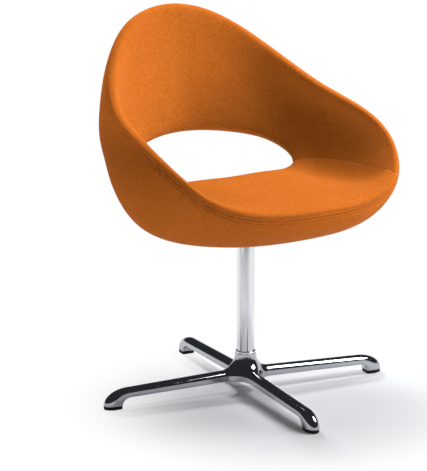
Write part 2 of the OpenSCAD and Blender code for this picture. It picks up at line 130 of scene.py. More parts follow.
# %% A socket that does sums, and a finish that makes nodes
class Value:
    """A number that varies over a surface: the output socket of a node."""

    def __init__(self, finish, socket):
        self.finish = finish
        self.socket = socket

    def maths(self, operation, *terms):
        return self.finish.add("ShaderNodeMath", {"operation": operation}, dict(enumerate(terms)))

    def __add__(self, other):
        return self.maths("ADD", self, other)

    def __mul__(self, other):
        return self.maths("MULTIPLY", self, other)

    def __sub__(self, other):
        return self.maths("SUBTRACT", self, other)

    def __rsub__(self, other):
        return self.maths("SUBTRACT", other, self)

    __radd__ = __add__
    __rmul__ = __mul__

    def between(self, low, high):
        """0 below low, 1 above high, and smooth in between."""
        return self.finish.add("ShaderNodeMapRange", {"interpolation_type": "SMOOTHSTEP"},
                               {"Value": self, "From Min": low, "From Max": high})


class Finish:
    """A material, or the world, under construction. Constants go on the shader's own sockets."""

    def __init__(self, name, shader="ShaderNodeBsdfPrincipled", kind="Material", **constants):
        makers = {"Material": bpy.data.materials, "World": bpy.data.worlds}
        self.result = makers[kind].new(name)
        self.result.use_nodes = True
        self.tree = self.result.node_tree
        self.tree.nodes.clear()
        self.shader = self.tree.nodes.new(shader)
        end = self.tree.nodes.new("ShaderNodeOutput" + kind)
        self.tree.links.new(self.shader.outputs[0], end.inputs["Surface"])
        self.set(**constants)

    def feed(self, node, key, value):
        if isinstance(value, Value):
            self.tree.links.new(value.socket, node.inputs[key])
        else:
            node.inputs[key].default_value = value

    def add(self, kind, settings, sockets, out=0):
        node = self.tree.nodes.new(kind)
        for key, value in settings.items():
            setattr(node, key, value)
        for key, value in sockets.items():
            self.feed(node, key, value)
        return Value(self, node.outputs[out])

    def place(self):
        """Position on the piece itself, in metres."""
        return self.add("ShaderNodeTexCoord", {}, {}, out="Object")

    def stretched(self, vector, scale):
        return self.add("ShaderNodeVectorMath", {"operation": "MULTIPLY"}, {0: vector, 1: scale})

    def noise(self, size, detail=2, rough=0.5, vector=None):
        """Cloudy noise with spots of about the given size in metres."""
        return self.add("ShaderNodeTexNoise", {"noise_dimensions": "3D"}, {
            "Vector": vector or self.place(), "Scale": 1 / size, "Detail": detail, "Roughness": rough})

    def blend(self, amount, first, second):
        """Colour that goes from first to second as amount goes from 0 to 1."""
        return self.add("ShaderNodeMix", {"data_type": "RGBA"}, {0: amount, 6: first, 7: second}, out=2)

    def bumps(self, height, depth):
        """Fine relief of the given depth in metres."""
        return self.add("ShaderNodeBump", {}, {"Height": height, "Strength": 1.0, "Distance": depth})

    def set(self, **sockets):
        """Feeds the shader's sockets, with _ for a space in their names, and gives the result."""
        for key, value in sockets.items():
            self.feed(self.shader, key.replace("_", " "), value)
        return self.result


# %% [markdown]
# ## Felt
# The cover is thick fulled wool felt. Its fibres are matted, so it has no weave: close up there is
# a fuzz of lighter and darker tufts, and from a step away a faint cloudiness where the dye took
# unevenly. One noise at the size of a tuft and one at the size of a thumb make the colour, and the
# tufts and a finer noise of single fibres make the relief. A trace of sheen stands for the loose
# fibres, which catch light at grazing angles. The thread is a smoother orange. Under the seat lies
# a thin black cloth, as chairs usually have there, and only its threads vary.

# %% Finishes of the felt, its thread and the base cloth
def colour(red, green, blue):
    return (red, green, blue, 1)


def felt_finish():
    felt = Finish("felt_orange", Sheen_Weight=0.02, Sheen_Roughness=0.45,
                  Sheen_Tint=colour(1.0, 0.55, 0.25), Specular_IOR_Level=0.08)
    tuft_l, cloud_l, fibre_l, fuzz_depth = 2.4 * MM, 38 * MM, 0.7 * MM, 0.35 * MM
    dark, light, faded = colour(0.455, 0.107, 0.009), colour(0.725, 0.186, 0.022), colour(0.63, 0.163, 0.024)
    tufts = felt.noise(tuft_l, detail=4, rough=0.62)
    clouds = felt.noise(cloud_l, detail=2)
    body = felt.blend(tufts.between(0.34, 0.68), dark, light)
    paler = felt.blend(clouds.between(0.35, 0.70) * 0.35, body, faded)
    fibres = felt.noise(fibre_l, detail=3, rough=0.7)
    return felt.set(Base_Color=paler, Roughness=0.86 + 0.12 * tufts,
                    Normal=felt.bumps(0.65 * tufts + 0.35 * fibres, fuzz_depth))


def grained(name, grain_l, dark, light, roughness, varies=0, depth=0, detail=2, **constants):
    """Finish whose colour, and perhaps its roughness and relief, follow one fine noise."""
    finish = Finish(name, Roughness=roughness, **constants)
    grain = finish.noise(grain_l, detail)
    if varies:
        finish.set(Roughness=roughness + varies * grain)
    if depth:
        finish.set(Normal=finish.bumps(grain, depth))
    return finish.set(Base_Color=finish.blend(grain, colour(*dark), colour(*light)))


felt_orange = felt_finish()
thread_orange = grained("thread_orange", 0.5 * MM, (0.50, 0.105, 0.010), (0.74, 0.175, 0.020), 0.55,
                        detail=1, Specular_IOR_Level=0.35)
cloth_black = grained("base_cloth", 0.9 * MM, (0.014, 0.014, 0.014), (0.035, 0.034, 0.033), 0.95,
                      depth=0.2 * MM, Specular_IOR_Level=0.12)
print("felt finish has", len(felt_orange.node_tree.nodes), "nodes")

# %% [markdown]
# ## The form of the shell
# The shell is one closed ring. Its outer line is the rim seam, its inner line is the edge of the
# opening, and a rounded section is carried round between the two. Sculpting that by hand would
# give lumps on a form whose charm is an even sweep, and sweeping one fixed section can't turn a
# thick seat into a thin back. So it is a formula, as boat builders do it: the two lines and four
# key sections (seat, hip, arm, back) are each given by a few points, and smooth curves blend them.
# The numbers are shares of a few real sizes, the same ones as in the solid model under it.

# %% Sizes and lines of the shell
shell_half_w = 293 * MM
shell_front = 275 * MM
shell_back = 331 * MM
seat_h = 440 * MM
back_rise = 349 * MM
seat_t = 94 * MM
wall_t = 50 * MM
roll_w = 24 * MM
seat_crown = 7 * MM
opening_half_w = 194 * MM
seat_rear = 80 * MM
opening_depth = 179 * MM
opening_rise = 91 * MM
opening_drop = 8 * MM
cover_t = 2.7 * MM

# Rim seam and opening edge, from the front centre to the top of the back: shares of the half
# width, of the reach and of the rise
rim_shares = [
    [0, -1, 0], [0.38, -0.955, 0.003], [0.70, -0.845, 0.063], [0.90, -0.66, 0.193], [1, -0.32, 0.347],
    [0.98, 0.045, 0.443], [0.90, 0.345, 0.527], [0.725, 0.65, 0.702], [0.416, 0.905, 0.920], [0, 1, 1]]
opening_shares = [
    [0, 0, 0], [0.41, 0.01, 0.02], [0.73, 0.02, 0.07], [0.93, 0.07, 0.22], [1, 0.21, 0.41],
    [0.96, 0.38, 0.59], [0.84, 0.58, 0.77], [0.63, 0.775, 0.89], [0.335, 0.93, 0.97], [0, 1, 1]]
# Sections from the rim seam over the roll and the inside, round the opening's edge and back
# outside: share of the way across, shares of the roll along it, shares of the thickness outwards
seat_shares = [
    [0, 0, 0], [0, 0.08, -0.10], [0, 1, -0.14], [0.3, 0, -0.18], [0.7, 0, -0.21], [1, -1, -0.25],
    [1, 0, 0], [1, -0.5, 0.36], [0.8, 0, 0.76], [0.36, 0, 0.87], [0, 0.6, 0.34]]
hip_shares = [
    [0, 0, 0], [0, -0.12, -0.13], [0, 0.6, -0.17], [0.3, 0, 0.30], [0.7, 0, 0.25], [1, -0.9, -0.09],
    [1, 0, 0], [1, -0.7, 0.36], [0.68, 0, 1], [0.34, 0, 0.93], [0, 0.85, 0.27]]
arm_shares = [
    [0, 0, 0], [0, -0.17, -0.24], [0, 0.4, -0.48], [0.3, 0, 0.08], [0.7, 0, 0.04], [1, -0.7, -0.24],
    [1, 0, 0], [1, -0.7, 0.44], [0.7, 0, 1.04], [0.34, 0, 1], [0, 0.85, 0.46]]
back_shares = [
    [0, 0, 0], [0, -0.1, -0.24], [0, 0.35, -0.56], [0.3, 0, -0.52], [0.7, 0, -0.48], [1, -0.67, -0.36],
    [1, 0, 0], [1, -0.67, 0.36], [0.7, 0, 0.46], [0.3, 0, 0.44], [0, 0.75, 0.26]]
# How much of the seat, hip, arm and back section shows at each point of the rim
kind_shares = [
    [1, 0, 0, 0], [1, 0, 0, 0], [0.55, 0.45, 0, 0], [0.1, 0.9, 0, 0], [0, 0.42, 0.58, 0],
    [0, 0, 1, 0], [0, 0, 0.8, 0.2], [0, 0, 0.4, 0.6], [0, 0, 0, 1], [0, 0, 0, 1]]
# Where the crease between the seat and an arm crosses each point of the section, as a share of
# the way from the front to the top of the back
crease_shares = [0.302, 0.267, 0.283, 0.344, 0.4, 0.389, 0.339, 0.289, 0.239, 0.186, 0.25]
print("rim seam runs through", 2 * len(rim_shares) - 2, "points,", len(seat_shares), "to a section")

# %% [markdown]
# A row number u counts the points of the rim (0 at the front, 9 at the top of the back, 18 round
# again) and v counts the points of the section (0 at the rim seam, 6 at the opening's edge, 11
# round again). Seams don't follow the rows, so a line number a does: 0 at the front, 8 on the
# crease where the arm begins, 24 at the top of the back, and the mirrored lines up to 48.

# %% Closed smooth curves
def knots(points):
    """Control points of a closed cubic spline that passes close to the given points."""
    points = np.asarray(points, float)
    return points - (np.roll(points, 1, 0) - 2 * points + np.roll(points, -1, 0)) / 6


def spline(control, place):
    """Points on the closed curve at places counted in control points."""
    index = np.floor(place).astype(int)
    f = (place - index)[..., None]
    g = 1 - f
    k = [control[(index + step) % len(control)] for step in (-1, 0, 1, 2)]
    middle = k[1] * (3 * f**3 - 6 * f**2 + 4) + k[2] * (3 * g**3 - 6 * g**2 + 4)
    return (k[0] * g**3 + middle + k[3] * f**3) / 6


def ringed(half, mirror=(1, 1, 1, 1)):
    """The whole ring from the points of one half."""
    half = np.asarray(half, float)
    return np.concatenate([half, half[-2:0:-1] * mirror[:half.shape[1]]])


flip = (-1, 1, 1)
rim_points = [(x * shell_half_w, y * (shell_front if y < 0 else shell_back), seat_h + z * back_rise)
              for x, y, z in rim_shares]
opening_low = seat_h - opening_drop
opening_points = [(x * opening_half_w, seat_rear + y * opening_depth, opening_low + z * opening_rise)
                  for x, y, z in opening_shares]
rim_knots, opening_knots = knots(ringed(rim_points, flip)), knots(ringed(opening_points, flip))
kind_knots = knots(ringed(kind_shares))
section_knots = [knots(np.array(shares) * (1, roll_w, thick)) for shares, thick in (
    (seat_shares, seat_t), (hip_shares, seat_t), (arm_shares, wall_t), (back_shares, wall_t))]
half_rows = len(rim_shares) - 1
crease_knots = knots(np.array(crease_shares)[:, None] * half_rows)
front, top = spline(rim_knots, np.array([0, half_rows]))
print("rim seam goes from", front.round(3), "at the front to", top.round(3), "at the top")

# %% Lines that keep to the crease
# Lines a of the crease and of the top of the back, and points v of the section with a seam: the
# opening's, the two edges of the base cloth under the seat, and the rim's again
seat_line, half_lines = 8, 24
opening_seam, wrap_seam, belly_seam, round_again = 6.5, 7.5, 8.5, 11


def wrapped(a):
    """Line number between -24 and 24."""
    return (a + half_lines) % (2 * half_lines) - half_lines


def row_of_line(a, v):
    """Row on which line a lies at point v of the section."""
    a = wrapped(a)
    crease = spline(crease_knots, v)[..., 0]
    side = np.abs(a)
    beyond = crease + (half_rows - crease) * (side - seat_line) / (half_lines - seat_line)
    return np.sign(a) * np.where(side <= seat_line, crease * side / seat_line, beyond)


print("crease starts on row", round(float(row_of_line(seat_line, 0.0)), 2), "of the rim")


# %% The surface of the shell as a formula
def unit(vectors):
    return vectors / np.linalg.norm(vectors, axis=-1, keepdims=True)


def bare(a, v):
    """Points of the shell's surface on lines a, at v."""
    a, v = np.broadcast_arrays(np.asarray(a, float), np.asarray(v, float))
    u = row_of_line(a, v)
    rim, edge = spline(rim_knots, u), spline(opening_knots, u)
    step = 0.01
    way = (unit(spline(rim_knots, u + step) - spline(rim_knots, u - step))
           + unit(spline(opening_knots, u + step) - spline(opening_knots, u - step)))
    span = np.linalg.norm(edge - rim, axis=-1, keepdims=True)
    across = (edge - rim) / span
    out = unit(np.cross(across, way))
    mix = spline(kind_knots, u)
    q = sum(mix[..., k:k + 1] * spline(section_knots[k], v) for k in range(4))
    return rim + across * (q[..., :1] * span + q[..., 1:2]) + out * q[..., 2:]


def outward(a, v):
    """Direction straight out of the surface."""
    da, dv = 0.05, 0.02
    return unit(np.cross(bare(a + da, v) - bare(a - da, v), bare(a, v + dv) - bare(a, v - dv)))


def crown(a, v):
    """How far the seat's top is crowned."""
    p, q = np.abs(wrapped(a)) / seat_line, v / opening_seam
    return np.where((p < 1) & (q > 0) & (q < 1), seat_crown * (1 - p**6) * np.sin(np.pi * q), 0)


print("front of the rim seam at", bare(0.0, 0.0).round(3), "top of the back at", bare(24.0, 1.0).round(3))

# %% [markdown]
# ## Meshes from grids
# Each felt panel is a grid of points. A seam needs close lines, 0.3 mm apart, where the felt rolls
# over into it, the puckers beside a crease need one every millimetre, and the middle of a panel
# only one every 5 mm. So the lines are spread by real distance from the seams: close at both ends
# and even between. Lengths are measured on a few hundred sample points along each line.

# %% Helpers that turn arrays into meshes
def new_piece(name, points, faces, material, sharp):
    """Smooth-shaded object whose edges stay sharp where they bend by more degrees than sharp."""
    mesh = bpy.data.meshes.new(name)
    mesh.from_pydata(np.asarray(points).reshape(-1, 3).tolist(), [], faces)
    mesh.materials.append(material)
    mesh.polygons.foreach_set("use_smooth", [True] * len(mesh.polygons))
    mesh.set_sharp_from_angle(angle=math.radians(sharp))
    mesh.validate()
    piece = bpy.data.objects.new(name, mesh)
    bpy.context.scene.collection.objects.link(piece)
    return piece


def grid(rows, columns, start=0, closed=False):
    """Faces of a grid of points whose rows lie one after another."""
    corners = [(r * columns, c, (c + 1) % columns) for r in range(rows - 1)
               for c in range(columns if closed else columns - 1)]
    return [(start + row + c, start + row + columns + c, start + row + columns + after, start + row + after)
            for row, c, after in corners]


print("a grid of 3 by 4 points has", len(grid(3, 4)), "faces, or", len(grid(3, 4, closed=True)), "if closed")


# %% Lines spread by real distance
def lengths(points, axis):
    """Running length along an axis of an array of points."""
    steps = np.linalg.norm(np.diff(points, axis=axis), axis=-1)
    start = np.zeros_like(np.take(steps, [0], axis))
    return np.concatenate([start, np.cumsum(steps, axis)], axis)


seam_lines = np.array([0, 0.3, 0.7, 1.2, 1.8, 2.5, 3.4, 4.4, 5.2, 5.9, 6.4, 6.9, 7.6, 8.6, 10, 12]) * MM
felt_step = 5 * MM
gather_step, gather_l = 1.0 * MM, 70 * MM
shortest_run = 2.4 * seam_lines[-1]


def spread(total):
    """Places along runs of the given lengths: close together at both seams and even between."""
    total = np.atleast_1d(total)[:, None]
    squeeze = np.minimum(1, total / shortest_run)
    near = seam_lines * squeeze
    count = max(2, int(np.mean(total) / felt_step))
    rest = near[:, -1:] + (total - 2 * near[:, -1:]) * np.linspace(0, 1, count + 2)[1:-1]
    return np.concatenate([near, rest, (total - near)[:, ::-1]], axis=1)


def spread_along(total):
    """Places along a seam: the same, but closer over the stretch at each end where felt gathers."""
    dense = np.linspace(seam_lines[-1], total - seam_lines[-1], 3000)
    step = np.where(np.minimum(dense, total - dense) < gather_l, gather_step, felt_step)
    passed = np.concatenate([[0], np.cumsum(np.diff(dense) / step[1:])])
    rest = np.interp(np.linspace(0, passed[-1], int(passed[-1]) + 2)[1:-1], passed, dense)
    return np.concatenate([seam_lines, rest, total - seam_lines[::-1]])


def panel_grid(a_from, a_to, v_from, v_to):
    """Lines and points of a panel, and how far each is from the start, end and nearer side seam."""
    dense_v = np.linspace(v_from, v_to, 500)
    dense_a = np.linspace(a_from, a_to, 700)
    run = lengths(bare(dense_a, (v_from + v_to) / 2), 0)
    from_side = spread_along(run[-1])
    lines = np.interp(from_side, run, dense_a)
    along = lengths(bare(lines[:, None], dense_v), 1)
    from_start = spread(along[:, -1])
    v = np.array([np.interp(s, run_v, dense_v) for s, run_v in zip(from_start, along)])
    # Near the two side seams the lines keep their real distance from the seam at every height
    d = 0.2
    speed = [np.linalg.norm(bare(edge + way * d, dense_v) - bare(edge, dense_v), axis=-1) / d
             for edge, way in ((a_from, 1), (a_to, -1))]
    low = a_from + seam_lines[-1] / np.interp(v, dense_v, speed[0])
    high = a_to - seam_lines[-1] / np.interp(v, dense_v, speed[1])
    count = len(seam_lines)
    first, last = lines[count - 1], lines[-count]
    a = low + (high - low) * ((lines - first) / (last - first))[:, None]
    share = (seam_lines / seam_lines[-1])[:, None]
    a[:count] = a_from + (low[:count] - a_from) * share
    a[-count:] = a_to - (a_to - high[-count:]) * share[::-1]
    from_sides = np.minimum(from_side, from_side[-1] - from_side)[:, None] * np.ones_like(v)
    return a, v, from_start, from_start[:, -1:] - from_start, from_sides


print("lines along a seam of half a metre:", len(spread_along(0.5)))


# %% [markdown]
# ## How felt goes into a seam
# Two panels are sewn face to face and turned right side out, so each one rolls over into the seam
# and the thread pulls it down a little. A row of stitches on each side of the rim seam, 6.4 mm from
# it, holds the seam allowance flat and lies in a channel. Beside the rim seam the thick felt had to
# be eased round the curve, and it gathers in narrow puckers that are deepest near the creases.
# All of this is real relief of one to five millimetres. A bump map would fake the shading, but
# the outline and the shadows in the crease would stay too clean.

# %% Shapes of a seam, as formulas of the distance from it
seam_reach, seam_depth = 3.4 * MM, 2.8 * MM
side_reach, side_depth = 2.2 * MM, 0.9 * MM
stitch_row, stitch_channel_w, stitch_channel_depth = 6.4 * MM, 1.6 * MM, 1.5 * MM
dent_l, dent_depth = 47 * MM, 0.45 * MM


def rolled_in(distance, reach, depth):
    """Quarter round into a seam: nothing beyond the reach, the full depth at the seam."""
    t = 1 - np.clip(distance / reach, 0, 1)
    return -depth * (1 - np.sqrt(1 - t**2))


def sloped_in(distance, reach, depth):
    """Soft slope into a seam."""
    return -depth * np.clip(1 - distance / reach, 0, 1)**2


def channel(distance, centre, width, depth):
    """Soft groove along a line at some distance from the seam."""
    return -depth * np.exp(-((distance - centre) / width)**2)


def unevenness(points):
    """Very soft dents and swells where the foam is not quite even."""
    x, y, z = (points / dent_l).transpose(2, 0, 1)
    return dent_depth * (np.sin(x + 1.7 * np.sin(y * 0.7 + 1)) * np.cos(y * 0.9 - z)
                         + 0.6 * np.sin(1.9 * z + 1.3 * np.sin(1.4 * x)))


print("1 mm from a seam the felt lies", round(-rolled_in(1 * MM, seam_reach, seam_depth) / MM, 2), "mm down")

# %% Puckers beside the rim seam
pucker_pitch, pucker_reach, quiet_share = 7 * MM, 38 * MM, 0.12


def rim_run(a):
    """Distance along the rim seam from the front centre to each line."""
    dense = np.linspace(-half_lines, 2 * half_lines, 1500)
    run = lengths(bare(dense, 0.0), 0)
    return np.interp(a, dense, run) - np.interp(0, dense, run)


rim_length = 2 * rim_run(half_lines)


def puckers(a, distance, depth, fade, slant=0):
    """Narrow troughs across the rim seam, deep near the creases and faint elsewhere."""
    run = rim_run(a)
    corner = rim_run(seat_line)
    from_crease = np.minimum(np.abs(np.abs(run) - corner), np.abs(run + corner - rim_length))
    near_crease = quiet_share + (1 - quiet_share) * np.exp(-(from_crease / pucker_reach)**2)
    wander, uneven = 0.9 * np.sin(run / (13 * MM)), 0.7 + 0.3 * np.sin(run / (8.3 * MM))
    place = (run + slant * distance) / pucker_pitch * np.pi + wander
    trough = uneven * (1 - np.abs(np.sin(place)))**1.6
    return -depth * trough * near_crease * np.exp(-distance / fade) * (1 - np.exp(-distance / (2 * MM)))


print("rim seam is", round(float(rim_length), 2), "m long")


# %% A panel of felt
def stitched_down(distance):
    """Channel of a row of stitches beside a seam."""
    return channel(distance, stitch_row, stitch_channel_w, stitch_channel_depth)


def felt_panel(name, a_from, a_to, v_from, v_to, relief, material):
    """Closed panel of felt between four seams, with its relief on both faces."""
    a, v, start, end, side = panel_grid(a_from, a_to, v_from, v_to)
    points, out = bare(a, v), outward(a, v)
    into_crease, added = relief(a, v, start, end, side)
    rolled = [rolled_in(start, seam_reach, seam_depth), rolled_in(end, seam_reach, seam_depth),
              rolled_in(side, side_reach, side_depth) + into_crease]
    seams = np.minimum.reduce(rolled)
    height = crown(a, v) + seams + added + unevenness(points)
    outer = points + out * height[..., None]
    inner = outer - out * cover_t
    rows, columns = v.shape
    count = rows * columns
    number = np.arange(count).reshape(rows, columns)
    edge = np.concatenate([number[:, 0], number[-1, 1:], number[-2::-1, -1], number[0, -2:0:-1]]).tolist()
    hem = [(q, q + count, p + count, p) for p, q in zip(edge, edge[1:] + edge[:1])]
    lining = [face[::-1] for face in grid(rows, columns, start=count)]
    print(name, rows, "x", columns, "points,", round(float(start[:, -1].mean()) / MM), "mm deep")
    return new_piece(name, np.array([outer, inner]), grid(rows, columns) + lining + hem, material, sharp=50)


# %% [markdown]
# ## The five panels
# The seat panel tucks into the creases beside the arms, and runs over the rear edge of the seat and
# a little way under it. The back panel is the inside of both arms and the back in one piece: it
# slopes softly into the crease, and where the rim turns most tightly beside it there are three
# short pull wrinkles. The front and the outer panel carry most of the puckers, below the rim seam.
# The under panel is the black base cloth, which closes the belly round the hole for the column.

# %% Seat and back panels
def away_from_rim(start):
    """0 beside the rim seam, growing to 1 at 45 mm from it."""
    share = np.clip((start - 5 * MM) / (40 * MM), 0, 1)
    return share * share * (3 - 2 * share)


def seat_relief(a, v, start, end, side):
    tuck = rolled_in(side, reach=9 * MM, depth=1.2 * MM) * away_from_rim(start)
    return tuck, stitched_down(start) + puckers(a, start, depth=1.8 * MM, fade=9 * MM, slant=1.2)


wrinkle_w, wrinkle_l, wrinkle_slant = 2.1 * MM, 17 * MM, 0.5
# Distance from the rim seam and depth of each wrinkle, in millimetres
wrinkle_places = [(15, 0.9), (24, 0.7), (33, 0.5)]


def back_relief(a, v, start, end, side):
    slope = sloped_in(side, reach=16 * MM, depth=1 * MM) * away_from_rim(start)
    wrinkles = sum(channel(start - wrinkle_slant * side, from_rim * MM, wrinkle_w, depth * MM)
                   for from_rim, depth in wrinkle_places)
    return slope, stitched_down(start) + wrinkles * np.exp(-(side / wrinkle_l)**2)


seat_lines, back_lines = (-seat_line, seat_line), (seat_line, 2 * half_lines - seat_line)
seat_panel = felt_panel("seat_panel", *seat_lines, 0, wrap_seam, seat_relief, felt_orange)
back_panel = felt_panel("back_panel", *back_lines, 0, opening_seam, back_relief, felt_orange)

# %% Front, outer and under panels
def puckered_relief(a, v, start, end, side):
    return 0, stitched_down(end) + puckers(a, end, depth=5.5 * MM, fade=13 * MM)


def plain_relief(a, v, start, end, side):
    return 0, 0


front_panel = felt_panel("front_panel", *seat_lines, belly_seam, round_again, puckered_relief, felt_orange)
outer_panel = felt_panel("outer_panel", *back_lines, opening_seam, round_again, puckered_relief, felt_orange)
under_panel = felt_panel("under_panel", *seat_lines, wrap_seam, belly_seam, plain_relief, cloth_black)

# %% [markdown]
# The under panel has a round hole through which the column goes. Cutting it from the finished
# panel with a boolean keeps the cloth's thickness in the edge of the hole, which a gap left in the
# grid would lose.

# %% Cut the hole for the column
recess_r = 26 * MM


def drilled(piece, radius, low, high):
    """Cuts an upright round hole on the swivel axis into a piece."""
    drill = bmesh.new()
    bmesh.ops.create_cone(drill, cap_ends=True, segments=64, radius1=radius, radius2=radius, depth=high - low)
    mesh = bpy.data.meshes.new("drill")
    drill.to_mesh(mesh)
    drill.free()
    cutter = bpy.data.objects.new("drill", mesh)
    cutter.location.z = (low + high) / 2
    bpy.context.scene.collection.objects.link(cutter)
    cut = piece.modifiers.new("hole", "BOOLEAN")
    cut.operation, cut.object, cut.solver = "DIFFERENCE", cutter, "EXACT"
    finished = bpy.data.meshes.new_from_object(piece.evaluated_get(bpy.context.evaluated_depsgraph_get()))
    piece.modifiers.clear()
    piece.data = finished
    bpy.data.objects.remove(cutter)
    print(piece.name, "drilled,", len(finished.polygons), "faces")


below_seat, plate_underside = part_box("under_cover")[0].z - 10 * MM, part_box("seat_plate")[0].z
drilled(under_panel, recess_r, below_seat, plate_underside)

# %% [markdown]
# ## Stitches
# The two rows beside the rim seam show as lines of short threads in their channels. Each stitch
# is a small capsule laid on the felt along the seam, bent down at both ends as thread is where it
# enters the cloth. One mesh holds a whole row, because its stitches never move against each other.

# %% Stitches on both sides of the rim seam
stitch_pitch, stitch_l, stitch_r, stitch_sink = 7.0 * MM, 5.0 * MM, 0.45 * MM, 1.15 * MM
stitch_sides = 6
stitch_bend = np.array([-0.9, -0.15, 0.1, -0.15, -0.9])[:, None] * stitch_r
stitch_thickness = np.array([0.25, 0.9, 1, 0.9, 0.25])[:, None, None] * stitch_r
stitch_rings = len(stitch_bend)


def at_distance(lines, distance, v_from, v_to):
    """Value of v at a distance from the seam at v_from, on each line."""
    dense = np.linspace(v_from, v_to, 200)
    return np.array([np.interp(distance, run, dense) for run in lengths(bare(lines[:, None], dense), 1)])


def stitched(name, v_from, v_to):
    """One row of stitches all the way round, beside the rim seam at v_from."""
    dense = np.linspace(-seat_line, 2 * half_lines - seat_line, 900)
    path_v = at_distance(dense, stitch_row, v_from, v_to)
    up = outward(dense, path_v)
    path = bare(dense, path_v) + up * (crown(dense, path_v) - stitch_sink)[:, None]
    run = lengths(path, 0)
    count = int(run[-1] / stitch_pitch)
    middles = (np.arange(count)[:, None] + 0.5) * run[-1] / count
    places = middles + np.linspace(-0.5, 0.5, stitch_rings) * stitch_l
    spots = np.stack([np.interp(places, run, path[:, k]) for k in range(3)], -1)
    rise = unit(np.stack([np.interp(places, run, up[:, k]) for k in range(3)], -1))
    along = unit(spots[:, -1:] - spots[:, :1])
    beside = unit(np.cross(along, rise))
    turn = np.linspace(0, 2 * np.pi, stitch_sides, endpoint=False)[:, None]
    centre = spots + rise * stitch_bend
    spokes = beside[:, :, None] * np.cos(turn) + rise[:, :, None] * np.sin(turn)
    rings = centre[:, :, None] + stitch_thickness * spokes
    each = stitch_rings * stitch_sides
    faces = []
    for k in range(count):
        faces += grid(stitch_rings, stitch_sides, start=k * each, closed=True)
        faces.append(tuple(k * each + s for s in range(stitch_sides)))
        faces.append(tuple(k * each + each - 1 - s for s in range(stitch_sides)))
    print(name, count, "stitches on", round(float(run[-1]), 2), "m of seam")
    return new_piece(name, rings, faces, thread_orange, sharp=80)


rim_stitches = stitched("rim_stitches", 0, 3)
side_stitches = stitched("side_stitches", round_again, round_again - 2)

# %% [markdown]
# ## Foam
# Under the felt lies moulded foam, in a seat part and a back part that meet in the crease. Hardly
# any of it shows: a ring of it in the hole under the seat, and the rest once a cover is lifted
# off. It follows the same surface 3.4 mm deeper, and is rounded where the felt tucks down, so it
# never comes through. A cloth simulation would swell it like a loose cushion. This foam is
# moulded to shape and the felt is pulled tight over it, so a formula is nearer to the real thing.

# %% Foam finish and pads
pad_depth, pad_end = 3.4 * MM, 0.06
pad_round_reach, pad_round_depth = 14 * MM, 7 * MM
pad_groove_depth, pad_groove_w = 2.5 * MM, 0.16
pad_steps = 12


def foam_finish():
    foam = Finish("moulded_foam", Roughness=0.95, Specular_IOR_Level=0.2)
    cells = foam.noise(1.1 * MM, detail=3, rough=0.7)
    shade = foam.blend(cells.between(0.3, 0.7), colour(0.62, 0.50, 0.28), colour(0.84, 0.74, 0.50))
    return foam.set(Base_Color=shade, Normal=foam.bumps(cells, 0.6 * MM))


def end_cap(start, count):
    """Ladder of faces that closes the end of a pad, from the rim seam to the opening."""
    fold = round(count * opening_seam / round_again)
    near = np.arange(fold + 1)
    far = (count - np.round(near * (count - fold) / fold).astype(int)) % count
    rungs = [(near[k], far[k], far[k + 1], near[k + 1]) for k in range(fold)]
    return [tuple(dict.fromkeys(start + int(point) for point in rung)) for rung in rungs]


def foam_pad(name, a_from, a_to, count):
    """The whole section over some lines, with grooves under the seams, closed at both ends."""
    lines = np.linspace(a_from + pad_end, a_to - pad_end, count)
    v = np.arange(pad_steps * round_again) / pad_steps
    a = lines[:, None] * np.ones_like(v)
    points = bare(a, v)
    run = lengths(points, 0)
    side = np.minimum(run, run[-1] - run)
    seams = np.minimum.reduce([rolled_in(side, pad_round_reach, pad_round_depth)] + [
        channel(v, seam, pad_groove_w, pad_groove_depth) * np.ones_like(a)
        for seam in (0, round_again, opening_seam)])
    pad = points + outward(a, v) * (crown(a, v) + seams - pad_depth)[..., None]
    faces = grid(count, len(v), closed=True)
    faces += end_cap(0, len(v))
    faces += [face[::-1] for face in end_cap((count - 1) * len(v), len(v))]
    return new_piece(name, pad, faces, foam_cream, sharp=60)


foam_cream = foam_finish()
seat_pad = foam_pad("seat_pad", *seat_lines, count=65)
back_pad = foam_pad("back_pad", *back_lines, count=129)
drilled(seat_pad, recess_r + 0.5 * MM, below_seat, plate_underside)

# %% [markdown]
# ## The cross base
# The base is one casting: a flared hub like the foot of a wine glass, four slim arms with a domed
# back and upright sides, and noses that bend down to the floor. Boolean unions of boxes and cones
# would leave hard joints where the casting flows. The plan helps: between two arms the outline is
# an arc, so the surface is laid on rays that leave the centre of that arc. Along a ray the height
# rises from the side wall over the dome to the flare of the hub. An eighth of the casting is made
# that way, and eight copies of it, every other one mirrored, are turned into place.

# %% Sizes of the cross base
glide_r = 311 * MM
arm_w, arm_h, nose_l = 30 * MM, 22 * MM, 38 * MM
arm_z, arm_drop, arm_taper = 28 * MM, 4 * MM, 0.15
hub_top, hub_r, flare_r = 84 * MM, 22 * MM, 34 * MM
dome_h, edge_r, web_r = 10 * MM, 2 * MM, 40 * MM
bend_l, glide_h = 20 * MM, 8 * MM
star_turn = math.radians(-7)
bolt_recess_r, bolt_recess_h, bolt_hole_r = 14 * MM, 12 * MM, 5.25 * MM
socket_r, socket_z = 19.05 * MM, 48 * MM
dome_r = ((arm_w / 2)**2 + dome_h**2) / (2 * dome_h)
web_x = arm_w / 2 + web_r
bend_x = glide_r - bend_l - nose_l / 2
bend_h = arm_z - arm_drop - glide_h
print("arm dome radius", round(dome_r / MM, 2), "mm, nose begins", round(bend_x / MM), "mm out")

# %% Dome and flare
def dome_share(inwards):
    """Rise of the domed back, from 0 on its edge to 1 on its ridge."""
    y = arm_w / 2 - np.minimum(inwards, arm_w / 2)
    return (np.sqrt(dome_r**2 - y**2) - (dome_r - dome_h)) / dome_h


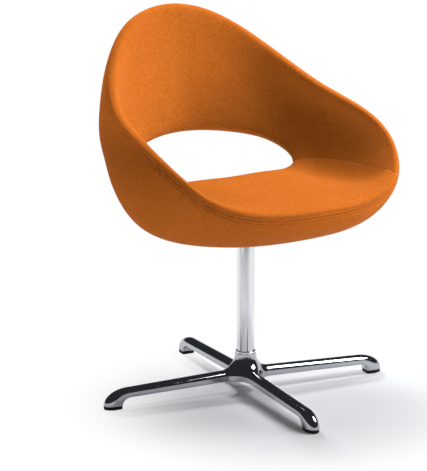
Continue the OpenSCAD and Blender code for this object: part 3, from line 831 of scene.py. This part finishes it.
def flare(radius):
    """Height of the ridge line: level along the arm, and steeper and steeper up the hub."""
    d = np.clip(radius - hub_r, 0, flare_r)
    return hub_top - np.sqrt(flare_r**2 - (flare_r - d)**2)


wall_top = arm_z + arm_h - dome_h
print("walls rise to", round(wall_top / MM), "mm, and the dome to", round((wall_top + dome_h) / MM), "mm")

# %% Rows of points over the casting
# Numbers of rays in the web and along its arc, and of rows along the arm and round the nose.
# Then the shares of the way at which points lie on the underside, up the wall and over the dome.
web_turns, flank_turns, arm_steps, nose_steps = 9, 17, 22, 22
under_shares, wall_shares, round_steps = (1, 0.66, 0.33, 0.08), (0.5, 0.94), 4
top_shares = (0, 0.006, 0.02, 0.045, 0.085, 0.14, 0.21, 0.30, 0.40, 0.51, 0.63, 0.76, 0.88, 1)


def casting_eighth():
    """Rows of points across half an arm, from the middle of the web out to the tip of the nose."""
    to_hub = math.atan2(web_x - hub_r, web_x)
    turns = np.concatenate([np.linspace(math.pi / 4, to_hub, web_turns)[:-1],
                            np.linspace(to_hub, 0, flank_turns)])
    rows = []
    for turn in turns:
        way = np.array([-math.sin(turn), -math.cos(turn)])
        rim = web_x + web_r * way
        reach = web_x / math.cos(turn) - web_r
        if turn > to_hub:
            middle = math.sqrt(2) * web_x * math.cos(turn - math.pi / 4)
            reach = middle - math.sqrt(middle**2 - 2 * web_x**2 + hub_r**2) - web_r
        goal = rim + reach * way
        polar = math.atan2(goal[1], goal[0])
        under_goal = bolt_recess_r * np.array([math.cos(polar), math.sin(polar)])
        if turn <= to_hub:
            out = (goal[0] - hub_r) * (web_x - bolt_recess_r) / (web_x - hub_r)
            under_goal = np.array([bolt_recess_r + out, 0])
        rows.append(row_across(rim, under_goal, way, reach))
    for x in np.linspace(web_x, bend_x, arm_steps)[1:]:
        rim, under_goal = np.array([x, arm_w / 2]), np.array([x, 0.0])
        rows.append(row_across(rim, under_goal, np.array([0.0, -1.0]), arm_w / 2))
    beside, height = rows[-1][:, 1], rows[-1][:, 2] - (arm_z - arm_drop)
    share = height / (arm_h * (1 - arm_taper))
    for turn in np.linspace(0, math.pi / 2, nose_steps)[1:]:
        x = bend_x + (bend_l + nose_l * share) * math.sin(turn)
        z = glide_h + (bend_h + arm_h * (1 - arm_taper) * share) * math.cos(turn)
        rows.append(np.stack([x, beside, z], 1))
    return np.array(rows)


def row_across(rim, under_goal, way, reach):
    """One row: along the underside to the rim, round its edge, up the wall and over the dome."""
    taper = max(0.0, (rim[0] - web_x) / (bend_x - web_x))
    points = [(*(rim + edge_r * way * (1 - s) + (under_goal - rim) * s), arm_z) for s in under_shares]
    for k in range(round_steps + 1):
        t = math.pi / 2 * k / round_steps
        points.append((*(rim + way * edge_r * (1 - math.sin(t))), arm_z + edge_r * (1 - math.cos(t))))
    points += [(*rim, arm_z + edge_r + s * (wall_top - arm_z - edge_r)) for s in wall_shares]
    for s in top_shares:
        spot = rim + s * reach * way
        rise = dome_share(s * reach) * (flare(np.linalg.norm(spot)) - wall_top)
        points.append((*spot, wall_top + rise))
    row = np.array(points)
    row[:, 2] = arm_z - arm_drop * taper + (row[:, 2] - arm_z) * (1 - arm_taper * taper)
    return row


eighth = casting_eighth()
print("an eighth of the casting has", eighth.shape[0], "rows of", eighth.shape[1], "points")

# %% [markdown]
# The socket for the column, the bolt hole under it and the recess for the bolt's head are turned
# on a lathe, so they are rings. They join the rays at the top of the hub and at the recess. The
# polish is a metal of low roughness. Faint haze in its tint and relief and a little wear in its
# roughness keep the reflections from looking computed. Chrome is the paler and sharper of the two.

# %% Finishes of the polished metals
def polished_finish(name, tint, roughness):
    metal = Finish(name, Metallic=1.0)
    wear_l, haze_l, haze_depth = 9 * MM, 60 * MM, 0.05 * MM
    wear = metal.noise(wear_l, detail=4, rough=0.6)
    haze = metal.noise(haze_l, detail=1)
    hazy = colour(*(0.96 * n for n in tint[:3]))
    return metal.set(Base_Color=metal.blend(haze, tint, hazy), Normal=metal.bumps(haze, haze_depth),
                     Roughness=roughness + 0.035 * wear.between(0.45, 0.75))


cast_metal = polished_finish("polished_aluminium", colour(0.47, 0.48, 0.51), roughness=0.08)
chrome = polished_finish("chrome_plate", colour(0.80, 0.81, 0.83), roughness=0.04)

# %% Mirror, turn and close the casting
weld_distance = 0.01 * MM


def swung(points, turn):
    """Points turned about the swivel axis."""
    x, y, z = np.moveaxis(points, -1, 0)
    return np.stack([x * math.cos(turn) - y * math.sin(turn), x * math.sin(turn) + y * math.cos(turn), z], -1)


def closed_up(piece, weld):
    """Welds points that lie on each other, if weld is true, and turns all faces outwards."""
    work = bmesh.new()
    work.from_mesh(piece.data)
    if weld:
        bmesh.ops.remove_doubles(work, verts=work.verts, dist=weld_distance)
        bmesh.ops.dissolve_degenerate(work, edges=work.edges, dist=weld_distance / 10)
    bmesh.ops.recalc_face_normals(work, faces=work.faces)
    open_edges = sum(not edge.is_manifold for edge in work.edges)
    work.to_mesh(piece.data)
    work.free()
    print(piece.name, len(piece.data.polygons), "faces,", open_edges, "open edges")


def socket_section(lip=0.9 * MM, lip_rise=0.35 * MM):
    """Radius and height from the hub's rim over a small lip into the socket, and down to the recess."""
    over_lip = [(hub_r - lip * math.sin(t), hub_top - lip * (1 - math.cos(t)) + lip_rise * math.sin(t))
                for t in (0.35, 0.7)]
    edge = [(socket_r + inwards * MM, hub_top - down * MM)
            for inwards, down in ((1.2, 0), (0.4, 0.2), (0, 0.8))]
    recess_top = arm_z + bolt_recess_h
    return [(hub_r, hub_top), *over_lip, *edge, (socket_r, socket_z), (bolt_hole_r, socket_z),
            (bolt_hole_r, recess_top), (bolt_recess_r, recess_top), (bolt_recess_r, arm_z)]


def cross_base():
    rows, columns = eighth.shape[:2]
    on_hub = np.isclose(np.linalg.norm(eighth[:, -1, :2], axis=1), hub_r, atol=1e-6)
    polar = np.arctan2(eighth[on_hub, -1, 1], eighth[on_hub, -1, 0])
    section = socket_section()
    rings = np.array([[(r * math.cos(t), r * math.sin(t), z) for r, z in section] for t in polar])
    points = np.concatenate([eighth.reshape(-1, 3), rings.reshape(-1, 3)])
    faces = [face[::-1] for face in grid(rows, columns)]
    faces += grid(len(polar), len(section), start=rows * columns)
    faces.append(tuple((rows - 1) * columns + c for c in range(columns)))
    whole_points, whole_faces = [], []
    for quarter in range(4):
        for side in (1, -1):
            start = len(whole_points) * len(points)
            whole_points.append(swung(points * (1, side, 1), quarter * math.pi / 2 + star_turn))
            whole_faces += [tuple(start + i for i in face[::side]) for face in faces]
    piece = new_piece("cross_base", np.concatenate(whole_points), whole_faces, cast_metal, sharp=180)
    closed_up(piece, weld=True)
    piece.data.set_sharp_from_angle(angle=math.radians(40))
    return piece


star = cross_base()

# %% [markdown]
# ## Column, collar and glides
# The column is a length of chromed tube and the collar a thin ring at its foot. Turned parts are
# drawn as half a section and swept round the axis, with every edge broken by a small round: on
# chrome it is that round which catches the bright line that makes an edge look machined. The
# glides are pads of black plastic in the outline of the noses, dull, fine-grained and scuffed.

# %% Lathe for turned parts
def turned(name, profile, material, segments=96, sharp=35):
    """Closed ring swept from a section of (radius, height) points, listed anticlockwise."""
    turns = np.linspace(0, 2 * np.pi, segments, endpoint=False)
    points = np.array([[(r * math.cos(t), r * math.sin(t), z) for r, z in profile] for t in turns])
    columns, last = len(profile), (segments - 1) * len(profile)
    faces = grid(segments, columns, closed=True)
    faces += [(last + c, c, (c + 1) % columns, last + (c + 1) % columns) for c in range(columns)]
    return new_piece(name, points, faces, material, sharp)


def broken(r_in, r_out, low, high, round_r, steps=4):
    """Section of a ring with its two outer edges rounded."""
    bottom = [(r_out - round_r * (1 - math.sin(t)), low + round_r * (1 - math.cos(t)))
              for t in np.linspace(0, math.pi / 2, steps + 1)]
    top = [(r, low + high - z) for r, z in reversed(bottom)]
    return [(r_in, low)] + bottom + top + [(r_in, high)]


column_r, column_bore, column_top = 19 * MM, 16.5 * MM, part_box("column_tube")[1].z
collar_bore, collar_r, collar_top = 19.02 * MM, 21.5 * MM, hub_top + 6 * MM
column_section = broken(column_bore, column_r, socket_z, column_top, round_r=0.8 * MM)
collar_section = broken(collar_bore, collar_r, hub_top, collar_top, round_r=1.1 * MM, steps=6)
column, collar = turned("column", column_section, chrome), turned("collar", collar_section, chrome)
print("column from", round(socket_z, 3), "to", round(column_top, 3))

# %% Black glides under the noses
def glide_finish():
    plastic = Finish("black_plastic", Specular_IOR_Level=0.2)
    grain = plastic.noise(0.5 * MM, detail=2)
    scuffs = plastic.noise(6 * MM, detail=4, rough=0.7)
    dark, scuffed = colour(0.008, 0.008, 0.009), colour(0.03, 0.03, 0.031)
    shade = plastic.blend(scuffs.between(0.6, 0.8) * 0.5, dark, scuffed)
    return plastic.set(Base_Color=shade, Roughness=0.55 + 0.12 * grain,
                       Normal=plastic.bumps(grain, 0.05 * MM))


glide_black = glide_finish()
glide_inset = 0.5 * MM
# Height and inset of each ring of points from the floor up, in millimetres
glide_rings = [(0, 1.6), (0.25, 0.9), (0.9, 0.3), (1.6, 0), (6.4, 0), (7.2, 0.25), (7.8, 0.8)]


def glide(name, turn):
    """Pad in the outline of the nose, with its edges rounded."""
    inside = np.linspace(0.03, 1, 12) * arm_w / 2
    height = np.concatenate([[0.0, 0.02 * arm_h], np.linspace(edge_r, arm_h - dome_h, 4),
                             arm_h - dome_h + dome_h * dome_share(inside)])
    inward = np.concatenate([[edge_r, 0.6 * edge_r], np.zeros(4), inside])
    half = np.stack([(height / arm_h - 0.5) * nose_l, arm_w / 2 - inward], 1)
    outline = np.concatenate([half, half[-2::-1] * (1, -1)])
    loops = []
    for z, inset in glide_rings:
        squeeze = 1 - (inset * MM + glide_inset) / (arm_w / 2)
        loops.append(np.concatenate([outline * squeeze, np.full((len(outline), 1), z * MM)], 1))
    count, last = len(outline), (len(glide_rings) - 1) * len(outline)
    faces = grid(len(glide_rings), count, closed=True)
    faces += [tuple(range(count)), tuple(range(last + count - 1, last - 1, -1))]
    pad = new_piece(name, swung(np.array(loops) + (glide_r, 0, 0), turn), faces, glide_black, sharp=50)
    closed_up(pad, weld=False)
    return pad


glides = {place: glide(f"glide_pad_{place}", star_turn + math.radians(angle))
          for place, angle in (("front", -90), ("right", 0), ("rear", 90), ("left", 180))}
print(len(glides), "glides on a circle of radius", glide_r)

# %% [markdown]
# ## The mechanism under the seat
# The plate, bolts, board, tubes and swivel are right as the solid model has them, and only need a
# finish. Powder coat is slightly bumpy, zinc is dull and streaked along its turning, plywood shows
# its layers on the edge, and sintered bronze is brown and soft in its shine. Blender's wave
# texture has a wave every 0.31 m at scale 1, so its scale is that length over a layer's thickness.

# %% Finishes of the mechanism
def plywood_finish():
    wood = Finish("plywood", Specular_IOR_Level=0.3)
    layer_t, wave_l = 3 * MM, 0.31
    layers = wood.add("ShaderNodeTexWave", {"bands_direction": "Z"}, {
        "Vector": wood.place(), "Scale": wave_l / layer_t, "Distortion": 0.4}, out="Fac")
    fibre = wood.noise(2 * MM, detail=4, vector=wood.stretched(wood.place(), (1, 0.06, 1)))
    veneer = wood.blend(fibre, colour(0.50, 0.33, 0.16), colour(0.72, 0.53, 0.31))
    glue_line = colour(0.36, 0.21, 0.09)
    return wood.set(Base_Color=wood.blend(layers.between(0.3, 0.7) * 0.45, veneer, glue_line),
                    Roughness=0.6 + 0.2 * fibre, Normal=wood.bumps(fibre, 0.1 * MM))


def zinc_finish():
    zinc = Finish("zinc_plate", Metallic=1.0)
    lines = zinc.noise(0.8 * MM, detail=3, vector=zinc.stretched(zinc.place(), (1, 1, 9)))
    return zinc.set(Base_Color=zinc.blend(lines, colour(0.50, 0.51, 0.53), colour(0.68, 0.69, 0.71)),
                    Roughness=0.28 + 0.2 * lines)


coat = grained("powder_coat", 1.6 * MM, (0.030, 0.030, 0.033), (0.048, 0.048, 0.052), 0.38,
               varies=0.15, depth=0.12 * MM, Specular_IOR_Level=0.5)
zinc = zinc_finish()
bronze = grained("sintered_bronze", 0.6 * MM, (0.30, 0.17, 0.06), (0.52, 0.33, 0.14), 0.42,
                 varies=0.2, depth=0.05 * MM, Metallic=1.0)
finish_of_slot = {"frame_paint": coat, "fixing_steel": zinc, "bush_bronze": bronze,
                  "board_wood": plywood_finish(), "washer_black": glide_black}
slot_of_node = {part["node"]: part["material_slot"] for part in frame["record"]["subparts"]}
dressed = 0
for node, solid in frame["nodes"].items():
    if slot_of_node[node] in finish_of_slot:
        for place in solid.material_slots:
            place.material = finish_of_slot[slot_of_node[node]]
        dressed += 1
print(dressed, "solids of the mechanism have a finish")

# %% [markdown]
# ## Which piece moves with what
# The felt, its stitches and the foam turn with the seat. The cross, the column, the collar and the glides
# stay on the floor. The table also lists, for each new piece, a material slot and the solids it stands for,
# and those solids are hidden.

# %% Bodies, slots and the solids that the pieces stand for
rides = {
    "seat": [(seat_panel, "felt", ["seat_cover"]), (back_panel, "felt", ["back_cover"]),
             (front_panel, "felt", ["front_cover"]), (outer_panel, "felt", ["outer_cover"]),
             (under_panel, "base_cloth", ["under_cover"]), (rim_stitches, "felt", []),
             (side_stitches, "felt", []), (seat_pad, "foam", ["seat_foam"]),
             (back_pad, "foam", ["back_foam"])],
    "base": [(star, "base_metal", ["star_base"]), (column, "column_chrome", ["column_tube"]),
             (collar, "column_chrome", ["column_collar"])]
            + [(pad, "glide_black", [f"glide_{place}"]) for place, pad in glides.items()],
}
for body, pieces in rides.items():
    for piece, slot, solids in pieces:
        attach(piece, body)
        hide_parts(*solids)
print({body: len(pieces) for body, pieces in rides.items()}, "new pieces ride on the bodies")

# %% [markdown]
# ## The lamps
# The chair was photographed on white. One large soft lamp high on the right gives the main light,
# and the highlights in the metal, where the photograph shows no other lamp. A lower one on the
# right opens the shade, two behind draw the bright line along the rim and throw the shadows
# forwards, and two weak ones on the left and in front keep the near side from going dark. Area
# lamps are used because their size softens the edges of the shadows.

# %% Lamps
chair_middle = Vector((0, 0, 0.4))


def area_lamp(name, place, size, power, mirrored=False):
    data = bpy.data.lights.new(name, "AREA")
    data.shape = "RECTANGLE"
    data.size, data.size_y = size
    data.energy = power
    lamp = bpy.data.objects.new(name, data)
    lamp.location = place
    lamp.rotation_euler = (chair_middle - Vector(place)).to_track_quat("-Z", "Y").to_euler()
    lamp.visible_glossy = mirrored
    bpy.context.scene.collection.objects.link(lamp)
    print(name, power, "W")


area_lamp("high_right", (1.8, -0.85, 2.65), (1.4, 1.4), 86, mirrored=True)
area_lamp("low_right", (2.9, -2.0, 0.8), (1.2, 0.8), 48)
area_lamp("high_back", (0.2, 1.2, 2.8), (0.8, 0.8), 45)
area_lamp("behind", (0.6, 2.8, 1.9), (0.5, 0.5), 86)
area_lamp("low_left", (-3.0, -0.8, 0.6), (1.2, 0.8), 16)
area_lamp("front", (1.0, -3.2, 1.4), (1.6, 1.6), 14)

# %% [markdown]
# ## No orange on the base or in the shade
# In the photograph the arms of the cross are near-black between bright edges, with no orange in
# them, although the seat is right above. The floor's shadow is a clean grey, and the shaded felt
# is a plain darker orange, where light that bounces from felt to felt would turn it red. Product
# photographs are often lit or retouched that way. Each object in Blender can be hidden from one
# kind of ray, so what turns with the seat is hidden from glossy and diffuse rays. The camera and
# the shadows of the lamps still see it.

# %% Hide the seat from glossy and diffuse rays
for piece in frame["bodies"]["seat"].children:
    piece.visible_glossy = False
    piece.visible_diffuse = False

# %% [markdown]
# ## The floor
# The floor is grey near the chair and fades to pure white further out: its material mixes a plain grey with a
# white glow by the distance from a point a little in front of the column. The grey pool round that point is a
# painted shadow of the shell, and the lamps' own shadows fall on it too. The Light Path node tells what kind
# of ray asks: the glow is for the eye and for metal, and never lights the chair. Metal sees the floor turn
# white only further out, and only a fifth of it at the front left, a painted shade in its reflections,
# because the lower flanks of the arms and the left of the column are grey in the photograph.

# %% Floor that fades to white round a painted shadow
def white_for_eye_and_metal(finish, distance):
    """Share of glow for rays from the camera, off metal or through glass, and 0 for bounced light. It grows
    with the distance from the middle of the painted shadow.
    """
    eye, metal, glass = [finish.add("ShaderNodeLightPath", {}, {}, out=kind)
                         for kind in ("Is Camera Ray", "Is Glossy Ray", "Is Transmission Ray")]
    way = finish.add("ShaderNodeVectorMath", {"operation": "NORMALIZE"}, {0: finish.place()})
    # Painted shade in the reflections: metal sees only a fifth of the floor's glow towards the front left,
    # and a wider grey pool than the eye sees, so the flanks of the arms and the column reflect grey.
    in_front = finish.add("ShaderNodeVectorMath", {"operation": "DOT_PRODUCT"}, {0: way, 1: (-0.7, -0.75, 0)},
                          out="Value")
    glow_share_after_painted_shade = 1 - 0.8 * in_front.between(-0.05, 0.75)
    mirrored = metal * glow_share_after_painted_shade * distance.between(0.25, 0.80)
    seen = eye.maths("MAXIMUM", eye, glass) * distance.between(0.15, white_from)
    return eye.maths("MAXIMUM", seen, mirrored)


# The grey pool round the shadow's middle, white from white_from metres out, is a painted shadow of the shell;
# the lamps' shadows fall on it as well.
half_floor, white_from, painted_shadow_middle = 9, 0.50, (0.04, -0.12, 0)
paper = Finish("paper_with_painted_shadow", "ShaderNodeMixShader")
painted_shadow_distance = paper.add("ShaderNodeVectorMath", {"operation": "DISTANCE"}, {0: paper.place(), 1: painted_shadow_middle},
                 out="Value")
paper.feed(paper.shader, 0, white_for_eye_and_metal(paper, painted_shadow_distance))
paper.feed(paper.shader, 1, paper.add("ShaderNodeBsdfDiffuse", {}, {"Color": colour(0.60, 0.61, 0.63)}))
paper.feed(paper.shader, 2, paper.add("ShaderNodeEmission", {}, {"Strength": 1.0}))
corners = [(x * half_floor, y * half_floor, 0) for x, y in ((-1, -1), (1, -1), (1, 1), (-1, 1))]
new_piece("floor", corners, [(0, 1, 2, 3)], paper.result, sharp=40)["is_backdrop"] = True
print("floor", 2 * half_floor, "m wide, white from", white_from, "m round the shadow's middle")

# %% [markdown]
# ## The world
# Polished metal shows what is round it. The world is white for the camera, almost dark for light
# that bounces about, and for metal pale at the horizon and dark above it. That draws the arms of
# the base as near-black bands with bright edges.

# %% World for the eye, for metal and for bounced light
sky = Finish("studio", "ShaderNodeBackground", kind="World")
bpy.context.scene.world = sky.result
direction = sky.add("ShaderNodeTexCoord", {}, {}, out="Generated")
height = sky.add("ShaderNodeSeparateXYZ", {}, {"Vector": direction}, out="Z")
is_eye, is_metal = [sky.add("ShaderNodeLightPath", {}, {}, out=kind)
                    for kind in ("Is Camera Ray", "Is Glossy Ray")]
horizon, ceiling, dim, white = [colour(*rgb) for rgb in (
    (0.95, 0.95, 0.96), (0.038, 0.040, 0.046), (0.04, 0.04, 0.04), (1, 1, 1))]
for_metal = sky.blend(height.between(0.06, 0.20), horizon, ceiling)
sky.set(Color=sky.blend(is_eye, sky.blend(is_metal, dim, for_metal), white))
bpy.context.scene.view_settings.view_transform = "Standard"
print("world has", len(sky.tree.nodes), "nodes")

# %% [markdown]
# ## Measure and finish
# The dressed chair has to fill the same box as the solid model, within a few millimetres, because whoever
# places it goes by the solid's size. The solid's box is printed at the start, and how far the dressed box
# grew beyond it is printed here.

# %% Compare the two boxes and finish
dressed_box = [list(corner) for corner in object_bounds()]
growth = [[round((b - a) / MM, 1) for a, b in zip(*pair)] for pair in zip(cad_box, dressed_box)]
print("box grew by", growth, "mm")
